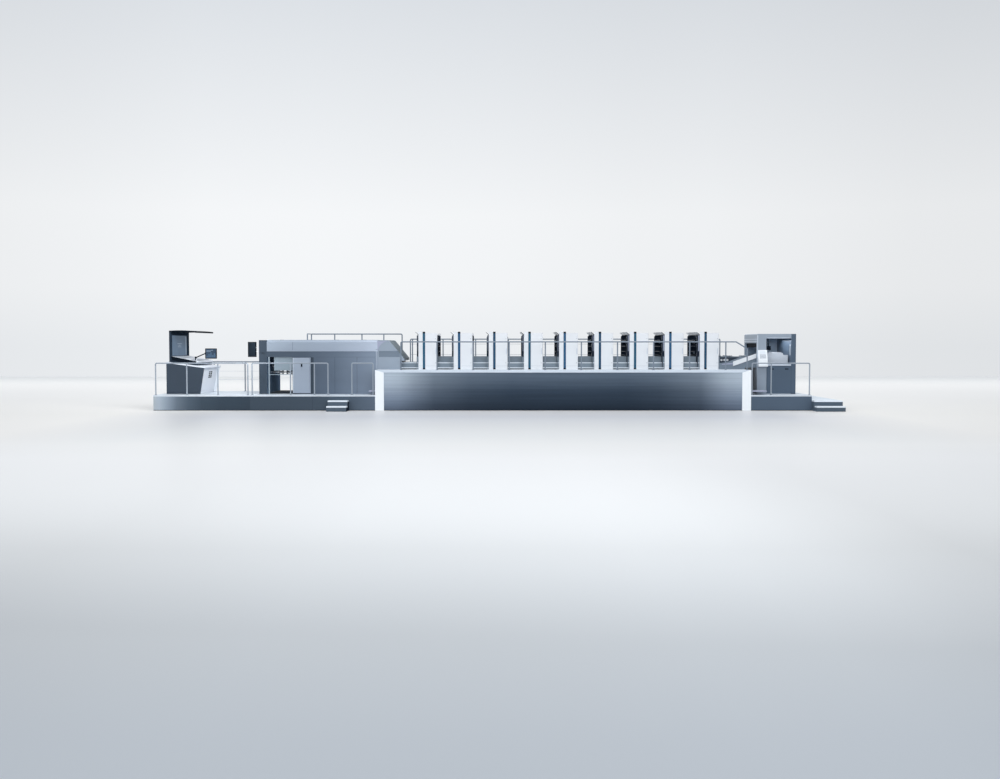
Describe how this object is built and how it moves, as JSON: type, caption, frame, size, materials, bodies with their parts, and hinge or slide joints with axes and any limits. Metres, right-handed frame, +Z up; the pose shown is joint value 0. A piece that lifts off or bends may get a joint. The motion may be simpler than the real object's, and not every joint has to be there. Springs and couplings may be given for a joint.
{
  "type": "offset printing press",
  "caption": "Sheet-fed offset printing press line with a row of printing units on a raised gallery, delivery, feeder, guard rails and a control console",
  "frame": {"origin": "on the floor, at the centre of the footprint", "axes": "X along the press from delivery to feeder, Y from the operator side to the drive side, Z up"},
  "size_m": [22.7, 4.45, 2.6597],
  "materials": {
    "slate_paint": "satin slate-grey coat",
    "deck_plate": "pale ribbed deck plate",
    "white_paint": "satin cool white coat",
    "light_paint": "satin light blue-grey coat",
    "stripe_paint": "satin petrol-blue coat",
    "dark_paint": "matt dark grey coat",
    "roller_rubber": "dark ground rubber",
    "machined_steel": "turned steel",
    "black_plastic": "matt black moulding",
    "paper_stack": "cut sheet edges",
    "dark_stack": "dark board stack",
    "rail_paint": "satin grey tube"
  },
  "bodies": {
    "press": {"console_plinth": "slate_paint", "delivery_plinth": "slate_paint", "feeder_plinth": "slate_paint", "platform_decks": "deck_plate", "delivery_steps": "slate_paint", "feeder_steps": "slate_paint", "step_treads": "deck_plate", "press_base": "slate_paint", "gallery_frame": "white_paint", "gallery_panel": "slate_paint", "gallery_deck": "deck_plate", "unit_1": "dark_paint", "unit_2": "dark_paint", "unit_3": "dark_paint", "unit_4": "dark_paint", "unit_5": "dark_paint", "unit_6": "dark_paint", "unit_7": "dark_paint", "unit_8": "dark_paint", "unit_9": "dark_paint", "unit_covers": "white_paint", "unit_stripes": "stripe_paint", "unit_rear_covers": "white_paint", "unit_rollers": "roller_rubber", "unit_guards": "dark_paint", "unit_bridges": "dark_paint", "gap_treads": "deck_plate", "delivery_end_frame": "dark_paint", "delivery_body": "slate_paint", "delivery_top_cover": "light_paint", "delivery_hood": "light_paint", "delivery_pile": "dark_stack", "delivery_curtain": "light_paint", "delivery_gripper_shaft": "machined_steel", "delivery_display": "black_plastic", "feeder_frame": "light_paint", "feeder_column": "dark_paint", "feeder_panels": "slate_paint", "feeder_suction_head": "black_plastic", "feeder_pile": "paper_stack", "feeder_control_panel": "white_paint", "feed_table": "slate_paint", "feed_board": "white_paint", "console_base": "slate_paint", "console_front": "white_paint", "console_desk": "white_paint", "console_screen": "black_plastic", "console_canopy": "dark_paint", "rail_console": "rail_paint", "rail_delivery": "rail_paint", "rail_gallery_end": "rail_paint", "rail_feeder": "rail_paint", "rail_rear": "rail_paint", "rail_gallery_front": "rail_paint", "rail_gallery_rear": "rail_paint", "rail_roof": "rail_paint"},
    "delivery_door": {"delivery_door": "light_paint"},
    "console_monitor": {"console_monitor_arm": "dark_paint", "console_monitor": "black_plastic"}
  },
  "joints": [
    {"name": "delivery_door_hinge", "type": "hinge", "parent": "press", "child": "delivery_door", "pos_m": [-6.299, -0.85, 1.15], "axis": [0, 0, 1], "range_deg": [0, 100]},
    {"name": "monitor_swivel", "type": "hinge", "parent": "press", "child": "console_monitor", "pos_m": [-10.25, -0.525, 1.735], "axis": [0, 0, 1], "range_deg": [-45, 45]}
  ]
}
